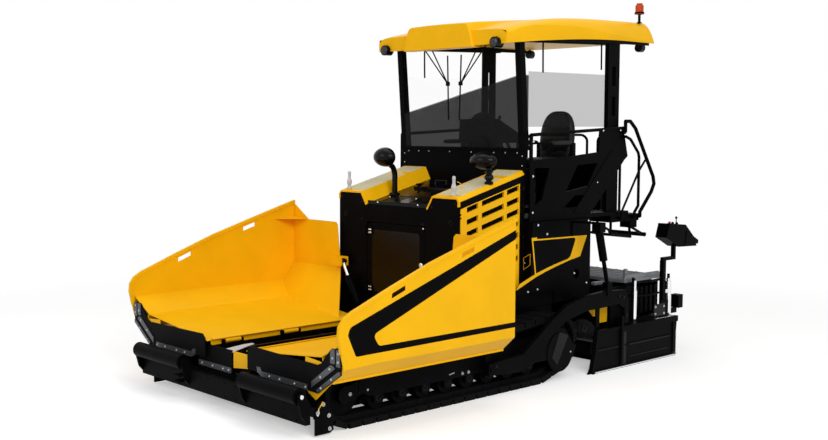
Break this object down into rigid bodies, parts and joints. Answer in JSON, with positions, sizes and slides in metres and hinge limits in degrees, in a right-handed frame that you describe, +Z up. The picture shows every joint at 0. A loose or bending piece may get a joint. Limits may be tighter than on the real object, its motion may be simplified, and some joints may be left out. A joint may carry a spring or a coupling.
{
  "type": "asphalt paver",
  "caption": "Tracked asphalt paver with open hopper wings, push rollers, engine hood, canopied operator platform, augers and an extending screed",
  "frame": {"origin": "on the ground under the middle of the overall box", "axes": "+X is the direction of travel when paving (towards the hopper), +Y the machine's left, +Z up"},
  "size_m": [5.893, 3.324, 3.975],
  "materials": {
    "yellow_paint": "gloss",
    "black_paint": "satin",
    "dark_steel": "worn",
    "grey_steel": "plain",
    "rod_chrome": "polished",
    "black_rubber": "matte",
    "tinted_glass": "clear",
    "seat_fabric": "matte",
    "lamp_lens": "clear",
    "beacon_orange": "clear",
    "mirror_black": "gloss"
  },
  "bodies": {
    "tractor": {"auger_guards": "yellow_paint", "beacon": "beacon_orange", "body_shell": "black_paint", "cab_glass": "tinted_glass", "canopy_posts": "black_paint", "centre_apron": "black_rubber", "console": "black_paint", "conveyors": "dark_steel", "engine_block": "black_paint", "firewall": "black_paint", "handrails": "black_paint", "hood_deck": "black_paint", "hood_sides": "yellow_paint", "hopper_front_plate": "yellow_paint", "lamps": "lamp_lens", "main_frame": "black_paint", "mirrors": "mirror_black", "platform_deck": "black_paint", "platform_wall": "black_paint", "roof": "yellow_paint", "side_panels": "black_paint", "track_frames": "black_paint", "tracks": "black_rubber", "wipers": "black_paint"},
    "wing_left": {"hopper_wing_left": "yellow_paint", "wing_apron_left": "black_rubber", "apron_strips_left": "grey_steel"},
    "wing_right": {"hopper_wing_right": "yellow_paint", "wing_apron_right": "black_rubber", "apron_strips_right": "grey_steel"},
    "wing_barrel_left": {"wing_barrel_left": "black_paint"},
    "wing_barrel_right": {"wing_barrel_right": "black_paint"},
    "wing_rod_left": {"wing_rod_left": "rod_chrome"},
    "wing_rod_right": {"wing_rod_right": "rod_chrome"},
    "push_beam": {"push_beam": "black_paint"},
    "push_roller_left": {"push_roller_left": "black_paint"},
    "push_roller_right": {"push_roller_right": "black_paint"},
    "door": {"firewall_door": "black_paint"},
    "auger_left": {"auger_left": "dark_steel"},
    "auger_right": {"auger_right": "dark_steel"},
    "seat_left": {"seat_left": "seat_fabric"},
    "seat_right": {"seat_right": "seat_fabric"},
    "screed": {"screed": "black_paint", "walkway": "grey_steel"},
    "extension_left": {"extension_left": "black_paint"},
    "extension_right": {"extension_right": "black_paint"},
    "lift_barrel_left": {"lift_barrel_left": "black_paint"},
    "lift_barrel_right": {"lift_barrel_right": "black_paint"},
    "lift_rod_left": {"lift_rod_left": "rod_chrome"},
    "lift_rod_right": {"lift_rod_right": "rod_chrome"}
  },
  "joints": [
    {"name": "wing_left_fold", "type": "hinge", "parent": "tractor", "child": "wing_left", "pos_m": [1.6235, 0.311, 0.559], "axis": [-1, 0, 0], "range_deg": [-44, 0]},
    {"name": "wing_barrel_left_tilt", "type": "hinge", "parent": "tractor", "child": "wing_barrel_left", "pos_m": [0.6735, 0.47, 0.676], "axis": [-1, 0, 0], "range_deg": [-55, 0]},
    {"name": "wing_rod_left_slide", "type": "slide", "parent": "wing_barrel_left", "child": "wing_rod_left", "axis": [0, 0.4945, 0.8692], "range_m": [0, 0.119]},
    {"name": "wing_right_fold", "type": "hinge", "parent": "tractor", "child": "wing_right", "pos_m": [1.6235, -0.311, 0.559], "axis": [1, 0, 0], "range_deg": [-44, 0]},
    {"name": "wing_barrel_right_tilt", "type": "hinge", "parent": "tractor", "child": "wing_barrel_right", "pos_m": [0.6735, -0.47, 0.676], "axis": [1, 0, 0], "range_deg": [-55, 0]},
    {"name": "wing_rod_right_slide", "type": "slide", "parent": "wing_barrel_right", "child": "wing_rod_right", "axis": [0, -0.4945, 0.8692], "range_m": [0, 0.119]},
    {"name": "push_beam_swing", "type": "hinge", "parent": "tractor", "child": "push_beam", "pos_m": [2.7135, 0, 0.19], "axis": [0, 0, 1], "range_deg": [-2.5, 2.5]},
    {"name": "push_roller_left_spin", "type": "hinge", "parent": "push_beam", "child": "push_roller_left", "pos_m": [2.8745, 0.88, 0.375], "axis": [0, 1, 0], "continuous": true},
    {"name": "push_roller_right_spin", "type": "hinge", "parent": "push_beam", "child": "push_roller_right", "pos_m": [2.8745, -0.88, 0.375], "axis": [0, 1, 0], "continuous": true},
    {"name": "door_swing", "type": "hinge", "parent": "tractor", "child": "door", "pos_m": [0.5955, -0.454, 1.175], "axis": [0, 0, -1], "range_deg": [0, 85]},
    {"name": "auger_left_spin", "type": "hinge", "parent": "tractor", "child": "auger_left", "pos_m": [-1.1665, 0.6, 0.345], "axis": [0, 1, 0], "continuous": true},
    {"name": "auger_right_spin", "type": "hinge", "parent": "tractor", "child": "auger_right", "pos_m": [-1.1665, -0.6, 0.345], "axis": [0, 1, 0], "continuous": true},
    {"name": "seat_left_swivel", "type": "hinge", "parent": "tractor", "child": "seat_left", "pos_m": [-1.1065, 0.56, 2.06], "axis": [0, 0, 1], "range_deg": [-12, 12]},
    {"name": "seat_right_swivel", "type": "hinge", "parent": "tractor", "child": "seat_right", "pos_m": [-1.1065, -0.56, 2.06], "axis": [0, 0, 1], "range_deg": [-12, 12]},
    {"name": "screed_lift", "type": "hinge", "parent": "tractor", "child": "screed", "pos_m": [0.5785, 0, 0.27], "axis": [0, 1, 0], "range_deg": [0, 7]},
    {"name": "extension_left_slide", "type": "slide", "parent": "screed", "child": "extension_left", "axis": [0, 1, 0], "range_m": [0, 1.1]},
    {"name": "lift_barrel_left_tilt", "type": "hinge", "parent": "tractor", "child": "lift_barrel_left", "pos_m": [-1.0815, 1.315, 1.52], "axis": [0, -1, 0], "range_deg": [0, 4.6]},
    {"name": "lift_rod_left_slide", "type": "slide", "parent": "lift_barrel_left", "child": "lift_rod_left", "axis": [0.265, 0, 0.9643], "range_m": [0, 0.237]},
    {"name": "extension_right_slide", "type": "slide", "parent": "screed", "child": "extension_right", "axis": [0, -1, 0], "range_m": [0, 1.1]},
    {"name": "lift_barrel_right_tilt", "type": "hinge", "parent": "tractor", "child": "lift_barrel_right", "pos_m": [-1.0815, -1.315, 1.52], "axis": [0, -1, 0], "range_deg": [0, 4.6]},
    {"name": "lift_rod_right_slide", "type": "slide", "parent": "lift_barrel_right", "child": "lift_rod_right", "axis": [0.265, 0, 0.9643], "range_m": [0, 0.237]}
  ],
  "couplings": [
    {"joint": "wing_barrel_left_tilt", "follows": "wing_left_fold", "ratio": 1.2097},
    {"joint": "wing_rod_left_slide", "follows": "wing_left_fold", "m_per_rad": -0.14937},
    {"joint": "lift_barrel_left_tilt", "follows": "screed_lift", "ratio": 0.60688},
    {"joint": "lift_rod_left_slide", "follows": "screed_lift", "m_per_rad": 1.9102},
    {"joint": "wing_barrel_right_tilt", "follows": "wing_right_fold", "ratio": 1.2097},
    {"joint": "wing_rod_right_slide", "follows": "wing_right_fold", "m_per_rad": -0.14937},
    {"joint": "lift_barrel_right_tilt", "follows": "screed_lift", "ratio": 0.60688},
    {"joint": "lift_rod_right_slide", "follows": "screed_lift", "m_per_rad": 1.9102}
  ]
}
